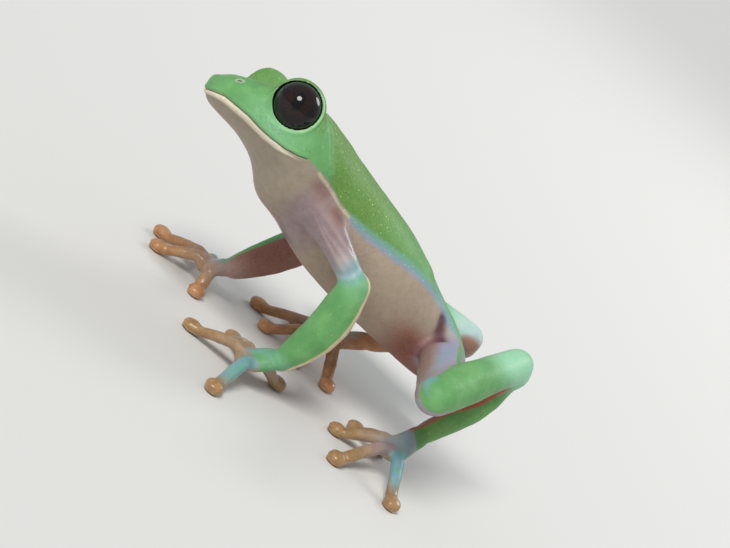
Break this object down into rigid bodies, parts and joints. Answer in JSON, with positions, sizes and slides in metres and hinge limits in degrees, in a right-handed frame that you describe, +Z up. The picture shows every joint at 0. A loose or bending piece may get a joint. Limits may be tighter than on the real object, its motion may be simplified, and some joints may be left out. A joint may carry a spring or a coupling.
{
  "type": "leaf frog",
  "caption": "Life-size still model of a slender leaf frog standing on all fours with its head raised, dark round eyes and disc-tipped fingers and toes.",
  "frame": {"origin": "middle of the frog's floor space, on the floor under its finger and toe discs", "axes": "+Z up; the frog faces -Y; its left side is +X"},
  "size_m": [0.0526, 0.0636, 0.0402],
  "materials": {
    "skin": "moist frog skin: leaf green above, cream below, violet and orange limbs",
    "eye": "polished near-black eye with a maroon iris"
  },
  "bodies": {
    "root": {"eye_left": "eye", "eye_right": "eye", "head": "skin", "trunk": "skin", "forearm_left": "skin", "upper_arm_left": "skin", "hand_left": "skin", "finger_1_left": "skin", "finger_2_left": "skin", "finger_3_left": "skin", "finger_4_left": "skin", "forearm_right": "skin", "upper_arm_right": "skin", "hand_right": "skin", "finger_1_right": "skin", "finger_2_right": "skin", "finger_3_right": "skin", "finger_4_right": "skin", "shank_left": "skin", "thigh_left": "skin", "tarsus_left": "skin", "foot_left": "skin", "toe_1_left": "skin", "toe_2_left": "skin", "toe_3_left": "skin", "toe_4_left": "skin", "toe_5_left": "skin", "shank_right": "skin", "thigh_right": "skin", "tarsus_right": "skin", "foot_right": "skin", "toe_1_right": "skin", "toe_2_right": "skin", "toe_3_right": "skin", "toe_4_right": "skin", "toe_5_right": "skin"}
  },
  "joints": []
}
